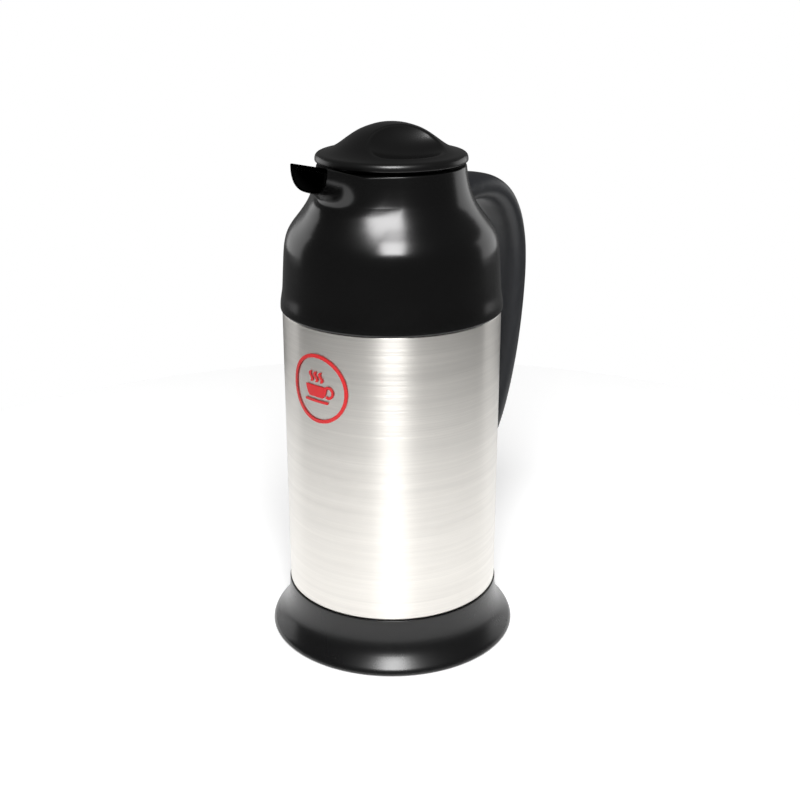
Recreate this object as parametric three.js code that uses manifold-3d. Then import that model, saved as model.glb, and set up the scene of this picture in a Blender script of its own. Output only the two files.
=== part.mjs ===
// Vacuum coffee server: a brushed steel double-wall bottle on a flared base, with a moulded
// shoulder that carries the pouring beak, a loop handle, and a twist-out insulated stopper.
// Millimetres, +Z up. The origin is on the bottle's axis, in the plane the server stands on.
// The beak points to -Y and the handle to +Y.

import * as THREE from 'three';
import { mergeVertices } from 'three/addons/utils/BufferGeometryUtils.js';
import Module from 'manifold-3d';

const wasm = await Module();
wasm.setup();

// Driving dimensions
const GAP = 0.3; // clearance between neighbouring pieces
const ROUND = 40; // sides of the large turned pieces
const SMALL_ROUND = 24; // sides of the inner turned pieces
const SCREW_ROUND = 12;

const SHELL_R = 56.1; // outside of the steel bottle
const SEAT_R = 54.9; // outside of its drawn-in lower end, which stands in the base
const SHEET = 0.8; // steel sheet thickness
const LINER_R = 47;
const NECK_R = 28.9; // outside of the steel neck
const NECK_TOP = 229;
const MOUTH_R = 25; // clear bore of the bottle's mouth

const BASE_R = 66.4;
const BASE_H = 27.3;
const BASE_SCREW_RING = 52; // radius of the circle that the base's three screws lie on
const FLOOR_LOW = 6.4; // underside and top of the base moulding's inner floor
const FLOOR_TOP = 8.7;

const SHOULDER_LOW = 179.8;
const RIM_Z = 252.4; // top of the shoulder moulding
const RIM_THICK = 2; // flange at the top of the shoulder, which covers the collar's end
const SKIN = 2.4; // wall of the shoulder moulding
const THROAT_R = 31; // bore of the collar that the stopper screws into
const COLLAR_R = 33.4;
const COLLAR_LOW = 224.5;
const LEDGE_LOW = 232.2; // ledge in the collar: it presses on the gasket and seats the stopper's seal
const LEDGE_TOP = 233.6;
const LEDGE_R = 25.4;

const BEAK_REACH = 59.5;
const BEAK_HALF = 11.8;
const BEAK_DEPTH = 12.8;
const BEAK_RISE = 6.6; // how far the beak's roof climbs above the rim
const BEAK_ROOT = COLLAR_R + GAP;
const ROOF_START = 38; // where the roof leaves the rim
const CHANNEL_HALF = 9.8;
const CHANNEL_DEPTH = 9.6;

const LID_R = 38;
const LID_LOW = 254.2; // underside of the lid's outer flange
const LID_TOP = 272.5;
const LID_BOSS_Z = 252.9; // face that meets the stopper
const LID_TURN = -26; // degrees: where the closed lid's arched grip stands, against the beak's line
const LID_SCREW_RING = 16;
const SCOOP_OUT = 23.5; // centre of each finger scoop, from the axis
const SCOOP_Z = 276;
const SCOOP_SIZE = [17.5, 34, 18]; // half sizes of the scoop: across, along the grip, and down

const STOPPER_R = 28.6;
const PLUG_R = 23.6;
const PLUG_LOW = 216;

const THREAD_LEAD = 24; // rise for one full turn
const THREAD_STARTS = 3;
const FLIGHT_HEIGHT = 2.6;
const FLIGHT_SWEEP = THREE.MathUtils.degToRad(70);
const THREAD_MID_Z = 241;
const FLIGHT_LAG = THREE.MathUtils.degToRad(20); // stopper flights sit further round than the throat's

const HANDLE_HALF_WIDTH = 13;
const HANDLE_HALF_DEPTH = 7;
const HANDLE_FOOT_Z = 74;
const BOSS_R = 4.5; // boss on the bracket, which the handle's foot fits over
const BOSS_REACH = 63;
const HANDLE_SCREW_R = 1.8;
const HANDLE_SCREW_HEAD_R = 4;
const HANDLE_SCREW_SEAT = 66; // depth of the counterbore in the handle's foot, as a distance from the axis

const BADGE_R = 18;
const BADGE_Z = 149.5;

// Materials
function plain(color, roughness, metalness) {
  return new THREE.MeshStandardMaterial({ color, roughness, metalness });
}

const BLACK = [0x161719, 0.38, 0];
const GRIP_BLACK = [0x22242a, 0.5, 0];
const BRUSHED = [0xb9b6ae, 0.34, 1];
const STEEL = [0xa8a8a6, 0.4, 1];
const RUBBER = [0x1b1b1c, 0.9, 0];
const SILICONE = [0xd8d8d4, 0.6, 0];
const FOAM = [0xe6dcc0, 0.95, 0];
const RED = [0xc2262c, 0.45, 0];
const ZINC = [0x9c9ea2, 0.35, 1];

const server = new THREE.Group();

function addPiece(name, geometry, look) {
  const mesh = new THREE.Mesh(geometry, plain(...look));
  mesh.name = name;
  server.add(mesh);
  return mesh;
}

// Geometry helpers
function toSolid(geometry) {
  const bare = geometry.clone();
  bare.deleteAttribute('normal');
  bare.deleteAttribute('uv');
  const merged = mergeVertices(bare, 1e-3);
  const index = merged.index.array;
  const corners = [];
  for (let i = 0; i < index.length; i += 3) {
    const [a, b, c] = index.slice(i, i + 3);
    if (a !== b && b !== c && c !== a) corners.push(a, b, c);
  }
  const vertProperties = new Float32Array(merged.attributes.position.array);
  const triVerts = new Uint32Array(corners);
  return new wasm.Manifold(new wasm.Mesh({ numProp: 3, vertProperties, triVerts }));
}

function toGeometry(solid) {
  const mesh = solid.getMesh();
  const geometry = new THREE.BufferGeometry();
  geometry.setAttribute('position', new THREE.BufferAttribute(mesh.vertProperties, 3));
  geometry.setIndex(new THREE.BufferAttribute(mesh.triVerts, 1));
  return geometry;
}

// Turns a closed (radius, height) outline about Z.
function turned(outline, sides = ROUND) {
  const points = outline.map(([radius, z]) => new THREE.Vector2(radius, z));
  if (THREE.ShapeUtils.isClockWise(points)) points.reverse();
  const onAxis = points.findIndex((point, i) => point.x === 0 && points.at(i - 1).x === 0);
  const fromAxis = [...points.slice(onAxis), ...points.slice(0, onAxis)];
  const ordered = onAxis < 0 ? [...points, points[0].clone()] : fromAxis;
  const geometry = new THREE.LatheGeometry(ordered, sides);
  geometry.rotateX(Math.PI / 2);
  return geometry;
}

function disc(radius, low, high, sides = SMALL_ROUND) {
  return turned([[0, low], [radius, low], [radius, high], [0, high]], sides);
}

// A round bar along Z, or laid along +Y with its ends at the given distances.
function rodAlongZ(radius, low, high, x, y, sides = SCREW_ROUND) {
  return disc(radius, low, high, sides).translate(x, y, 0);
}

function rodAlongY(radius, near, far, z, sides = SCREW_ROUND) {
  return disc(radius, near, far, sides).rotateX(-Math.PI / 2).translate(0, 0, z);
}

function block(x, y, z) {
  const size = [x, y, z].map(([low, high]) => high - low);
  const centre = [x, y, z].map(([low, high]) => (high + low) / 2);
  return new THREE.BoxGeometry(...size).translate(...centre);
}

// Moves every vertex of a plain shape, so that a bar becomes a bent or tapered one.
function reshape(geometry, move) {
  const positions = geometry.attributes.position;
  const point = new THREE.Vector3();
  for (let i = 0; i < positions.count; i += 1) {
    point.fromBufferAttribute(positions, i);
    move(point);
    positions.setXYZ(i, point.x, point.y, point.z);
  }
  return geometry;
}

function curvePoints(points, count) {
  const curve = new THREE.SplineCurve(points.map(([radius, z]) => new THREE.Vector2(radius, z)));
  return curve.getSpacedPoints(count);
}

// Three places at equal angles round the axis.
function threeRound(radius, turn = 0) {
  return [90, 210, 330].map((degrees) => {
    const angle = THREE.MathUtils.degToRad(degrees + turn);
    return [radius * Math.cos(angle), radius * Math.sin(angle)];
  });
}

// Base
const BASE_SCREWS = threeRound(BASE_SCREW_RING);

function makeBase() {
  const flareLine = [[65.2, 3.8], [62.2, 6.8], [59.4, 10.6], [57.6, 15.4], [56.8, 20.4], [56.6, 25.6]];
  const flare = curvePoints(flareLine, 5);
  const outline = [
    [60.6, 0],
    [65.2, 0],
    [BASE_R, 1.2],
    [BASE_R - 0.2, 2.8],
    ...flare.map((point) => [point.x, point.y]),
    [56.6, BASE_H],
    [SEAT_R + GAP, BASE_H],
    [SEAT_R + GAP, FLOOR_TOP],
    [38, FLOOR_TOP],
    [38, FLOOR_LOW],
    [56.5, FLOOR_LOW],
    [60.6, 4.6],
  ];
  let base = toSolid(turned(outline));
  for (const [x, y] of BASE_SCREWS) {
    base = base.subtract(toSolid(rodAlongZ(2, 0, BASE_H, x, y)));
  }
  addPiece('base_cup', toGeometry(base), BLACK);
}

function makeUnderside() {
  let cover = toSolid(turned([[0, 1.9], [59, 1.9], [60.3, 3], [60.3, 4.1], [0, 4.1]]));
  BASE_SCREWS.forEach(([x, y], i) => {
    cover = cover.subtract(toSolid(rodAlongZ(2.1, 1, 5, x, y)));
    const head = toSolid(rodAlongZ(3.6, 0.4, 1.6, x, y));
    const shank = toSolid(rodAlongZ(1.6, 1.2, 8.2, x, y));
    addPiece(`base_screw_${i + 1}`, toGeometry(head.add(shank)), ZINC);
  });
  addPiece('bottom_cover', toGeometry(cover), BLACK);
  addPiece('foot_pad', disc(44, 0, 1.6, ROUND), RUBBER);
}

// Double-wall steel bottle
function wall(outer, thickness) {
  // A sheet whose outer face is the given line: the inner face is the line moved in by its normals.
  const inner = outer.map(([radius, z], i) => {
    const [r0, z0] = outer[Math.max(i - 1, 0)];
    const [r1, z1] = outer[Math.min(i + 1, outer.length - 1)];
    const length = Math.hypot(r1 - r0, z1 - z0);
    return [Math.max(radius - (thickness * (z1 - z0)) / length, 0), z + (thickness * (r1 - r0)) / length];
  });
  return [...outer, ...inner.reverse()];
}

function makeBottle() {
  const domeLine = [[52, 203], [49.6, 210], [44, 215.3], [37, 218.7], [31.4, 220.8], [NECK_R, 223.6]];
  const dome = curvePoints(domeLine, 5);
  const shell = [
    [SEAT_R, FLOOR_TOP + GAP],
    [SEAT_R, BASE_H + 0.1],
    [SHELL_R, BASE_H + 1],
    [SHELL_R, 177.9],
    [55.6, 179],
    [54, 179.5],
    [52.7, 180.6],
    [52.4, 183],
    ...dome.map((point) => [point.x, point.y]),
    [NECK_R, NECK_TOP],
  ];
  addPiece('outer_shell', turned(wall(shell, SHEET)), BRUSHED);

  const pan = [[0, 11], [49, 11], [52, 9], [53.7, 9], [53.7, 10], [50, 12], [0, 12]];
  addPiece('shell_bottom', turned(pan), STEEL);
  addPiece('vacuum_seal_cap', disc(7, 9.6, 10.7, 20), STEEL);
  addPiece('getter', disc(9, 12.3, 14.3, 20), ZINC);

  const linerLine = [[LINER_R, 196], [45.6, 204], [40, 211], [33, 215.4], [27.6, 218.6], [25.8, 222.5]];
  const linerDome = curvePoints(linerLine, 5);
  const liner = [
    [0, 19],
    [40, 19],
    [45.4, 20.6],
    [LINER_R, 25],
    ...linerDome.map((point) => [point.x, point.y]),
    [25.8, NECK_TOP + GAP],
    [NECK_R + 0.5, NECK_TOP + GAP],
    [NECK_R + 0.5, NECK_TOP + GAP + SHEET],
    [MOUTH_R, NECK_TOP + GAP + SHEET],
    [MOUTH_R, 222.3],
    ...linerDome.map((point) => [point.x - SHEET, point.y - SHEET / 2]).reverse(),
    [LINER_R - SHEET, 25.2],
    [44.9, 21.3],
    [39.8, 19 + SHEET],
    [0, 19 + SHEET],
  ];
  addPiece('inner_liner', turned(liner, SMALL_ROUND), STEEL);

  const gasketLow = NECK_TOP + 2 * GAP + SHEET;
  const gasketTop = LEDGE_LOW - GAP;
  const gasket = [[LEDGE_R, gasketLow], [29.6, gasketLow], [29.6, gasketTop], [LEDGE_R, gasketTop]];
  addPiece('neck_gasket', turned(gasket, SMALL_ROUND), SILICONE);
}

// Screw thread: flights of one three-start right-hand helix, in the collar and on the stopper.
function threadFlights(insideR, outsideR, midZ, midAngle) {
  const flights = [];
  for (let start = 0; start < THREAD_STARTS; start += 1) {
    const bar = new THREE.BoxGeometry(1, 1, 1, 6, 1, 1);
    const centre = midAngle + (start * 2 * Math.PI) / THREAD_STARTS;
    reshape(bar, (point) => {
      const turn = point.x * FLIGHT_SWEEP;
      const radius = THREE.MathUtils.lerp(outsideR, insideR, point.y + 0.5);
      const z = midZ + point.z * FLIGHT_HEIGHT + (THREAD_LEAD * turn) / (2 * Math.PI);
      point.set(radius * Math.cos(centre + turn), radius * Math.sin(centre + turn), z);
    });
    flights.push(toSolid(bar));
  }
  return flights;
}

// Shoulder moulding with its beak
const SHOULDER_LINE = [
  [57, 182.2], [56.5, 186.5], [55.6, 192], [55.3, 200], [54.8, 208], [54, 214], [52.9, 218], [50.8, 222],
  [47.6, 226], [44.7, 230], [42.1, 234], [40.2, 238], [39, 242], [38, 246.5], [37.3, 250.6],
];

// A bar along -Y with a flat top and a round underside: the beak outside, or its channel inside.
function beakBar(near, far, halfWidth, depth, roofDrop, swell) {
  const bar = new THREE.CylinderGeometry(1, 1, 1, 16, 5);
  return reshape(bar, (point) => {
    const along = 0.5 - point.y;
    const reach = THREE.MathUtils.lerp(near, far, along);
    const rootward = Math.max(0, (BEAK_REACH - reach) / (BEAK_REACH - BEAK_ROOT));
    const under = Math.max(0, -point.z);
    const climb = Math.max(0, reach - ROOF_START) / (BEAK_REACH - ROOF_START);
    const roof = RIM_Z - roofDrop + BEAK_RISE * climb;
    const width = halfWidth + swell * rootward * (0.25 + under);
    const drop = (depth + 1.6 * swell * rootward ** 2) * under;
    point.set(point.x * width, -reach, roof - drop);
  });
}

function pouringChannel() {
  return toSolid(beakBar(27, 62, CHANNEL_HALF, CHANNEL_DEPTH, RIM_THICK, 0));
}

function makeShoulder() {
  const skin = curvePoints(SHOULDER_LINE, 12).map((point) => [point.x, point.y]);
  const sheet = wall([...skin, [36.9, 252], [35.8, RIM_Z]], SKIN);
  const outside = sheet.slice(0, skin.length + 2);
  const inside = sheet.slice(skin.length + 2).filter(([, z]) => z < 249);
  const outline = [
    [54.4, SHOULDER_LOW + 0.1],
    [56.4, SHOULDER_LOW + 0.1],
    ...outside,
    [THROAT_R, RIM_Z],
    [THROAT_R, RIM_Z - RIM_THICK],
    [34.9, RIM_Z - RIM_THICK],
    ...inside,
  ];
  const beak = toSolid(beakBar(BEAK_ROOT, BEAK_REACH, BEAK_HALF, BEAK_DEPTH, 0, 10));
  const handleSlot = toSolid(block([-7.4, 7.4], [35, 46], [232.6, 238.4]));
  const shoulder = toSolid(turned(outline)).add(beak).subtract(pouringChannel()).subtract(handleSlot);
  addPiece('shoulder', toGeometry(shoulder), BLACK);
}

// Threaded collar inside the shoulder, notched where the beak's channel starts
function makeCollar() {
  const outline = [
    [THROAT_R, COLLAR_LOW],
    [COLLAR_R, COLLAR_LOW],
    [COLLAR_R, RIM_Z - RIM_THICK - GAP],
    [THROAT_R, RIM_Z - RIM_THICK - GAP],
    [THROAT_R, LEDGE_TOP],
    [LEDGE_R, LEDGE_TOP],
    [LEDGE_R, LEDGE_LOW],
    [THROAT_R, LEDGE_LOW],
  ];
  let collar = toSolid(turned(outline)).subtract(pouringChannel());
  for (const flight of threadFlights(29, THROAT_R + 0.6, THREAD_MID_Z, Math.PI / 2)) {
    collar = collar.add(flight);
  }
  addPiece('neck_collar', toGeometry(collar), BLACK);
}

// Handle
function handlePath() {
  const line = [
    [37, 230], [50, 232.6], [63.7, 233.4], [78, 230.4], [93.4, 215.2], [100.4, 194.7], [100.7, 173.8],
    [98.7, 152.9], [94.8, 132.2], [89, 111.7], [81, 91.5], [71, 79], [56, HANDLE_FOOT_Z],
  ];
  return new THREE.CatmullRomCurve3(line.map(([reach, z]) => new THREE.Vector3(0, reach, z)));
}

function makeHandle() {
  const path = handlePath();
  const bar = new THREE.CylinderGeometry(1, 1, 1, 14, 24);
  const corner = 0.62; // below 1, the round section becomes a soft-cornered rectangle
  reshape(bar, (point) => {
    const along = 0.5 - point.y;
    const centre = path.getPointAt(along);
    const tangent = path.getTangentAt(along);
    const side = Math.sign(point.x) * Math.abs(point.x) ** corner * HANDLE_HALF_WIDTH;
    const lift = Math.sign(point.z) * Math.abs(point.z) ** corner * HANDLE_HALF_DEPTH;
    point.set(side, centre.y + lift * tangent.z, centre.z - lift * tangent.y);
  });
  const neck = SHOULDER_LINE.map(([radius, z]) => [radius + GAP, z]);
  const bodyClearance = toSolid(turned([[0, 180], [57.3, 180], ...neck, [0, 250.6]]));
  const shellClearance = toSolid(disc(58.3, 40, 120, ROUND));
  const tongue = toSolid(block([-7, 7], [36.9, 47], [233, 238]));
  const counterbore = toSolid(
    rodAlongY(HANDLE_SCREW_HEAD_R + 0.4, HANDLE_SCREW_SEAT, 95, HANDLE_FOOT_Z, SMALL_ROUND),
  );
  const handle = toSolid(bar)
    .subtract(bodyClearance)
    .subtract(shellClearance)
    .add(tongue)
    .subtract(toSolid(rodAlongY(BOSS_R + GAP, 50, BOSS_REACH + GAP, HANDLE_FOOT_Z, SMALL_ROUND)))
    .subtract(toSolid(rodAlongY(HANDLE_SCREW_R + 0.5, 60, 90, HANDLE_FOOT_Z)))
    .subtract(counterbore);
  addPiece('handle', toGeometry(handle), GRIP_BLACK);

  const plate = new THREE.BoxGeometry(18, 1.5, 26, 10, 1, 1);
  reshape(plate, (point) => {
    const radius = SHELL_R + GAP + 0.75 + point.y;
    const angle = point.x / SHELL_R;
    point.set(radius * Math.sin(angle), radius * Math.cos(angle), HANDLE_FOOT_Z + point.z);
  });
  const bracket = toSolid(plate)
    .add(toSolid(rodAlongY(BOSS_R, 57.2, BOSS_REACH, HANDLE_FOOT_Z, SMALL_ROUND)))
    .subtract(toSolid(rodAlongY(HANDLE_SCREW_R + 0.4, 50, 70, HANDLE_FOOT_Z)));
  addPiece('handle_bracket', toGeometry(bracket), STEEL);

  const headLow = HANDLE_SCREW_SEAT + GAP;
  const head = toSolid(rodAlongY(HANDLE_SCREW_HEAD_R, headLow, headLow + 2.7, HANDLE_FOOT_Z, SMALL_ROUND));
  const shank = toSolid(rodAlongY(HANDLE_SCREW_R, 58, headLow + 1, HANDLE_FOOT_Z));
  addPiece('handle_screw', toGeometry(head.add(shank)), ZINC);
}

// Round film label that follows the steel, under the beak
function makeBadge() {
  const inner = SHELL_R + GAP;
  const outer = inner + 0.3;
  const [low, high] = [BADGE_Z - BADGE_R - 1, BADGE_Z + BADGE_R + 1];
  const sleeve = toSolid(turned([[inner, low], [outer, low], [outer, high], [inner, high]]));
  const disk = toSolid(rodAlongY(BADGE_R, -BASE_R, -LINER_R, BADGE_Z, 32));
  addPiece('badge', toGeometry(sleeve.intersect(disk)), RED);
}

// Lid and stopper
const LID_SCREWS = threeRound(LID_SCREW_RING, LID_TURN);

function makeLid() {
  const bellLine = [[35.6, 258.2], [30, 259.9], [25.6, 263.2], [20.6, 267], [12, 271.1], [0, LID_TOP]];
  const bell = curvePoints(bellLine, 8);
  const outline = [
    [0, 262],
    [11, 262],
    [11, LID_BOSS_Z],
    [STOPPER_R, LID_BOSS_Z],
    [STOPPER_R, LID_LOW],
    [37, LID_LOW],
    [LID_R, LID_LOW + 0.8],
    [LID_R, 256.4],
    [37.3, 257.6],
    ...bell.map((point) => [Math.max(point.x, 0), point.y]),
  ];
  outline[outline.length - 1][0] = 0;
  let lid = toSolid(turned(outline));
  for (const side of [-1, 1]) {
    const scoop = new THREE.SphereGeometry(1, 20, 12).scale(...SCOOP_SIZE);
    scoop.translate(side * SCOOP_OUT, 0, SCOOP_Z).rotateZ(THREE.MathUtils.degToRad(LID_TURN));
    lid = lid.subtract(toSolid(scoop));
  }
  for (const [x, y] of LID_SCREWS) {
    lid = lid.subtract(toSolid(rodAlongZ(1.9, 250, 258.4, x, y)));
  }
  addPiece('lid_cover', toGeometry(lid), BLACK);
}

function makeStopper() {
  const outline = [
    [0, 250.4],
    [26.4, 250.4],
    [26.4, 238.6],
    [21.6, 237],
    [21.6, 219],
    [PLUG_R, 219],
    [PLUG_R, 236.5],
    [28, 236.5],
    [STOPPER_R, 237.2],
    [STOPPER_R, 252.6],
    [0, 252.6],
  ];
  let stopper = toSolid(turned(outline, ROUND));
  const lagRise = (THREAD_LEAD * FLIGHT_LAG) / (2 * Math.PI);
  const midZ = THREAD_MID_Z - FLIGHT_HEIGHT - GAP + lagRise;
  for (const flight of threadFlights(STOPPER_R - 0.6, 30.2, midZ, Math.PI / 2 + FLIGHT_LAG)) {
    stopper = stopper.add(flight);
  }
  LID_SCREWS.forEach(([x, y], i) => {
    stopper = stopper.subtract(toSolid(rodAlongZ(1.9, 249, 254, x, y)));
    const head = toSolid(rodAlongZ(3.2, 248, 250.1, x, y));
    const shank = toSolid(rodAlongZ(1.5, 249, 257.8, x, y));
    addPiece(`lid_screw_${i + 1}`, toGeometry(head.add(shank)), ZINC);
  });
  addPiece('stopper_body', toGeometry(stopper), BLACK);

  const cap = [[0, PLUG_LOW], [21.4, PLUG_LOW], [PLUG_R, 217.4], [PLUG_R, 218.7], [0, 218.7]];
  addPiece('stopper_bottom_cap', turned(cap, SMALL_ROUND), BLACK);
  const seal = [[23.9, 234.2], [24.6, 233.9], [27, 233.9], [27.8, 234.8], [27.2, 236.2], [23.9, 236.2]];
  addPiece('stopper_seal', turned(seal, SMALL_ROUND), SILICONE);
  addPiece('stopper_foam', disc(21.2, 219.2, 247.4, 30), FOAM);
}

makeBase();
makeUnderside();
makeBottle();
makeShoulder();
makeCollar();
makeHandle();
makeBadge();
makeLid();
makeStopper();

export default server;
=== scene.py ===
"""Looks for the vacuum coffee server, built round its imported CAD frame.

Shapes are worked out in millimetres and scaled to metres when their mesh is made. +Z is up, the
beak points to -Y and the handle to +Y. Turned pieces come from outlines. The moulded pieces come
from distance fields, which join and round their surfaces as a moulding does.
"""
import math

import bpy
import numpy as np
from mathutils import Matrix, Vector


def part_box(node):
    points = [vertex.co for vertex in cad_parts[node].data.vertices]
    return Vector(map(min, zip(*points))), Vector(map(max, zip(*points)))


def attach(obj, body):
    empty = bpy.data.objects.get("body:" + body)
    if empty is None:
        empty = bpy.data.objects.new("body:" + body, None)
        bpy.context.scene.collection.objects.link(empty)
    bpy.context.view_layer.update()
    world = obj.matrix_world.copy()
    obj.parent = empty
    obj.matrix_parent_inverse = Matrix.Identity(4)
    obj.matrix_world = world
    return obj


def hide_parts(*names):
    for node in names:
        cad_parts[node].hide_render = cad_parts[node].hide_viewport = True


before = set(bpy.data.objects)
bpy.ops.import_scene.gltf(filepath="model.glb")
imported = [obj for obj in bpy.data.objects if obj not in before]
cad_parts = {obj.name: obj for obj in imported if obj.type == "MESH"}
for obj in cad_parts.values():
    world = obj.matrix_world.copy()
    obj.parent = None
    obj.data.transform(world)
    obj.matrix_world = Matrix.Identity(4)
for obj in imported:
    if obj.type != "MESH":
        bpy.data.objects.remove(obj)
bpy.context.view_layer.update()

# Sizes shared with the frame, in millimetres
MM = 0.001
BASE_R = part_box("base_cup")[1].x / MM
BASE_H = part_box("base_cup")[1].z / MM
SHELL_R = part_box("outer_shell")[1].x / MM
SEAT_R = 54.9  # the shell's drawn-in lower end, which stands in the base
LID_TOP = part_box("lid_cover")[1].z / MM
GAP = 0.3
FLOOR_LOW = 6.4
FLOOR_TOP = 8.7
BASE_SCREW_RING = 52

SHOULDER_LOW = 179.9
RIM_Z = 252.4
RIM_THICK = 2
SKIN = 2.4
THROAT_R = 31
COLLAR_R = 33.4
COLLAR_LOW = 224.5
LEDGE_LOW = 232.2
LEDGE_TOP = 233.6
LEDGE_R = 25.4
MOUTH_R = 25
NECK_R = 28.9
NECK_TOP = 229

BEAK_REACH = 59.3
LIP_LEAN = 0.25  # how much further the lip reaches for each millimetre below the roof
BEAK_HALF = 11.8
BEAK_DEPTH = 12.6
BEAK_RISE = 6.6
BEAK_ROOT = COLLAR_R + GAP
BIB_HEIGHT = 4.6
ROOF_START = 38
CHANNEL_HALF = 9.8
CHANNEL_DEPTH = 9.6

LID_R = 38
LID_LOW = 254.2
LID_BOSS_Z = 252.9
LID_TURN = math.radians(-26)
LID_SCREW_RING = 16

STOPPER_R = 28.6
STOPPER_TOP = 252.6
PLUG_R = 23.6
PLUG_IN = 21.6  # bore of the plug, which holds the foam
PLUG_LOW = 216
SKIRT_IN = 26.4
SKIRT_LOW = 236.5  # lower end of the threaded skirt
THREAD_LEAD = 24
THREAD_STARTS = 3
THREAD_MID_Z = 241
FLIGHT_HEIGHT = 2.6
FLIGHT_HALF_SWEEP = math.radians(35)
FLIGHT_LAG = math.radians(20)

TONGUE_Z = 235.5  # middle of the handle's tongue, and of the slot that it fits in the shoulder
HANDLE_HALF_WIDTH = 13.2
HANDLE_HALF_DEPTH = 7.2
WIDTH_TAPER = 2.4  # how much slimmer the handle's half width and half depth are at its foot
DEPTH_TAPER = 0.6
FOOT_TOP = 120  # the handle's foot is cut back from the shell below this height
HANDLE_FOOT_Z = 74
BOSS_R = 4.5
BOSS_REACH = 63
HANDLE_SCREW_SEAT = 66
BADGE_R = 18
BADGE_Z = 149.5


# ---------------------------------------------------------------- materials
class Look:
    """A node material round one Principled shader. An input is a plain value or another node's socket."""

    def __init__(self, name, **constants):
        self.material = bpy.data.materials.new(name)
        self.material.use_nodes = True
        self.tree = self.material.node_tree
        self.shader = self.tree.nodes["Principled BSDF"]
        self.set(self.shader, {key.replace("_", " "): value for key, value in constants.items()})

    def set(self, node, inputs):
        for key, value in inputs.items():
            if isinstance(value, bpy.types.NodeSocket):
                self.tree.links.new(value, node.inputs[key])
            else:
                node.inputs[key].default_value = value

    def add(self, kind, inputs, output=0, **settings):
        node = self.tree.nodes.new("ShaderNode" + kind)
        for key, value in settings.items():
            setattr(node, key, value)
        self.set(node, inputs)
        return node.outputs[output]

    def place(self, scale=(1, 1, 1)):
        position = self.add("TexCoord", {}, "Object")
        return self.add("Mapping", {"Vector": position, "Scale": scale})

    def noise(self, place, scale, detail=3):
        return self.add("TexNoise", {"Vector": place, "Scale": scale, "Detail": detail}, "Fac")

    def spread(self, value, low, high, start=0.3, end=0.7):
        ends = {"From Min": start, "From Max": end, "To Min": low, "To Max": high}
        return self.add("MapRange", {"Value": value, **ends})

    def tint(self, color, factor, low, high):
        """The colour, times low to high as factor goes from 0 to 1."""
        ends = [(*[min(1, c * share) for c in color], 1) for share in (low, high)]
        ramp = self.tree.nodes.new("ShaderNodeValToRGB")
        for stop, end in zip(ramp.color_ramp.elements, ends):
            stop.color = end
        self.set(ramp, {"Fac": factor})
        return ramp.outputs["Color"]

    def bump(self, height, strength, depth):
        return self.add("Bump", {"Height": height, "Strength": strength, "Distance": depth})

    def finish(self, **inputs):
        self.set(self.shader, {key.replace("_", " "): value for key, value in inputs.items()})
        return self.material


def moulded_plastic(name, color, roughness, grain, depth, worn=1.6):
    """Moulded plastic: spark-eroded grain, patches polished by handling, and paler rubbed edges."""
    look = Look(name, IOR=1.5)
    patches = look.noise(look.place(), 22, 4)
    edges = look.spread(look.add("NewGeometry", {}, "Pointiness"), 0, 1, 0.52, 0.6)
    grainy = look.noise(look.place(), grain, 2)
    rubbed = look.add("Math", {0: edges, 1: patches}, operation="MULTIPLY")
    rough = look.spread(patches, roughness - 0.03, roughness + 0.05)
    return look.finish(
        Base_Color=look.tint(color, rubbed, 1, worn),
        Roughness=rough,
        Normal=look.bump(grainy, depth, 0.00004),
    )


def brushed_steel(name, color, roughness, grooves, anisotropy, depth):
    """Steel brushed round its axis: streaks that are long round the body and fine up it."""
    look = Look(name, Metallic=1, Anisotropic=anisotropy, Anisotropic_Rotation=0.25)
    tangent = look.add("Tangent", {}, direction_type="RADIAL", axis="Z")
    streaks = look.noise(look.place((9, 9, grooves)), 1, 8)
    broad = look.noise(look.place((14, 14, grooves / 12)), 1, 3)
    both = look.add("Math", {0: streaks, 1: broad, 2: 0.35}, operation="MULTIPLY_ADD")
    return look.finish(
        Base_Color=look.tint(color, look.spread(both, 0, 1, 0.45, 0.9), 0.9, 1.08),
        Roughness=look.spread(streaks, roughness - 0.04, roughness + 0.06),
        Normal=look.bump(streaks, depth, 0.00003),
        Tangent=tangent,
    )


def soft_rubber(name, color, roughness, grain):
    look = Look(name, IOR=1.45)
    dust = look.noise(look.place(), 60, 5)
    grainy = look.noise(look.place(), grain, 3)
    return look.finish(
        Base_Color=look.tint(color, dust, 0.85, 1.2),
        Roughness=look.spread(dust, roughness - 0.08, roughness + 0.06),
        Normal=look.bump(grainy, 0.5, 0.00006),
    )


def open_foam(name, color):
    look = Look(name)
    cells = look.add("TexVoronoi", {"Vector": look.place(), "Scale": 900}, "Distance")
    return look.finish(
        Base_Color=look.tint(color, cells, 0.7, 1.1),
        Roughness=look.spread(cells, 0.85, 1),
        Normal=look.bump(cells, 0.8, 0.0003),
    )


def plated_steel(name, color):
    look = Look(name, Metallic=1)
    clouds = look.noise(look.place(), 140, 4)
    return look.finish(
        Base_Color=look.tint(color, clouds, 0.85, 1.1),
        Roughness=look.spread(clouds, 0.24, 0.38),
        Normal=look.bump(look.noise(look.place(), 1500, 2), 0.3, 0.00003),
    )


def printed_ink(name, color):
    look = Look(name, IOR=1.5)
    screen = look.noise(look.place(), 1800, 2)
    return look.finish(
        Base_Color=look.tint(color, screen, 0.92, 1.08),
        Roughness=look.spread(screen, 0.32, 0.42),
        Normal=look.bump(screen, 0.15, 0.00002),
    )


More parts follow.
